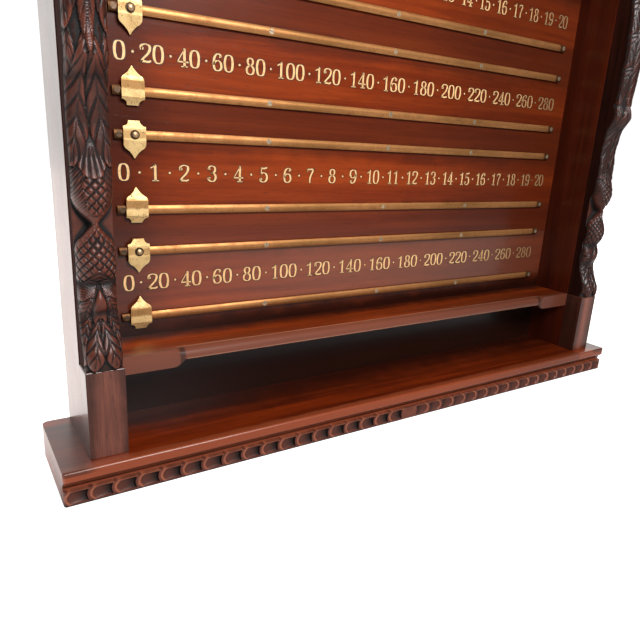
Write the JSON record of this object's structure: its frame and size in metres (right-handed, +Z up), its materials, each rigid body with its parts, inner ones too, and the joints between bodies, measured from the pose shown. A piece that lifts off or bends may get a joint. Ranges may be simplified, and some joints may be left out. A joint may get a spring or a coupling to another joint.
{
  "type": "snooker scoreboard",
  "caption": "Wall-hung wooden snooker scoreboard with carved pilasters, a chalk shelf, brass rails across a recessed panel and brass pointers that slide along them.",
  "frame": {"origin": "centre of the footprint, on the base's underside", "axes": "+X along the board to the viewer's right, +Y to the wall, +Z up"},
  "size_m": [1.072, 0.152, 0.836],
  "materials": {
    "mahogany": "polished",
    "carved_mahogany": "dark waxed carving",
    "plain_wood": "unpolished",
    "rail_brass": "aged satin brass",
    "pointer_brass": "rubbed brass",
    "screw_steel": "dull"
  },
  "bodies": {
    "case": {"base_board": "mahogany", "base_under_board": "mahogany", "base_carved_moulding": "carved_mahogany", "left_side_board": "mahogany", "right_side_board": "mahogany", "left_plinth_block": "mahogany", "right_plinth_block": "mahogany", "left_carved_pilaster": "carved_mahogany", "right_carved_pilaster": "carved_mahogany", "chalk_shelf": "mahogany", "score_panel": "mahogany", "frieze_rail": "mahogany", "cornice_board": "mahogany", "cornice_moulding": "mahogany", "lower_batten": "plain_wood", "middle_batten": "plain_wood", "hanging_batten": "plain_wood", "rail_screws": "screw_steel", "base_screws": "screw_steel", "batten_screws": "screw_steel", "cornice_dowels": "plain_wood", "row1_lower_rail": "rail_brass", "row1_upper_rail": "rail_brass", "row2_lower_rail": "rail_brass", "row2_upper_rail": "rail_brass", "row3_lower_rail": "rail_brass", "row3_upper_rail": "rail_brass", "row4_lower_rail": "rail_brass", "row4_upper_rail": "rail_brass"},
    "row1_lower_marker": {"row1_lower_pointer": "pointer_brass", "row1_lower_clip": "rail_brass"},
    "row1_upper_marker": {"row1_upper_pointer": "pointer_brass", "row1_upper_clip": "rail_brass", "row1_upper_knob": "pointer_brass"},
    "row2_lower_marker": {"row2_lower_pointer": "pointer_brass", "row2_lower_clip": "rail_brass"},
    "row2_upper_marker": {"row2_upper_pointer": "pointer_brass", "row2_upper_clip": "rail_brass", "row2_upper_knob": "pointer_brass"},
    "row3_lower_marker": {"row3_lower_pointer": "pointer_brass", "row3_lower_clip": "rail_brass"},
    "row3_upper_marker": {"row3_upper_pointer": "pointer_brass", "row3_upper_clip": "rail_brass", "row3_upper_knob": "pointer_brass"},
    "row4_lower_marker": {"row4_lower_pointer": "pointer_brass", "row4_lower_clip": "rail_brass"},
    "row4_upper_marker": {"row4_upper_pointer": "pointer_brass", "row4_upper_clip": "rail_brass", "row4_upper_knob": "pointer_brass"}
  },
  "joints": [
    {"name": "row1_lower_slide", "type": "slide", "parent": "case", "child": "row1_lower_marker", "axis": [1, 0, 0], "range_m": [-0.0137, 0.8124]},
    {"name": "row1_upper_slide", "type": "slide", "parent": "case", "child": "row1_upper_marker", "axis": [1, 0, 0], "range_m": [-0.0137, 0.8124]},
    {"name": "row2_lower_slide", "type": "slide", "parent": "case", "child": "row2_lower_marker", "axis": [1, 0, 0], "range_m": [-0.0137, 0.8124]},
    {"name": "row2_upper_slide", "type": "slide", "parent": "case", "child": "row2_upper_marker", "axis": [1, 0, 0], "range_m": [-0.0137, 0.8124]},
    {"name": "row3_lower_slide", "type": "slide", "parent": "case", "child": "row3_lower_marker", "axis": [1, 0, 0], "range_m": [-0.0137, 0.8124]},
    {"name": "row3_upper_slide", "type": "slide", "parent": "case", "child": "row3_upper_marker", "axis": [1, 0, 0], "range_m": [-0.0137, 0.8124]},
    {"name": "row4_lower_slide", "type": "slide", "parent": "case", "child": "row4_lower_marker", "axis": [1, 0, 0], "range_m": [-0.0137, 0.8124]},
    {"name": "row4_upper_slide", "type": "slide", "parent": "case", "child": "row4_upper_marker", "axis": [1, 0, 0], "range_m": [-0.0137, 0.8124]}
  ]
}
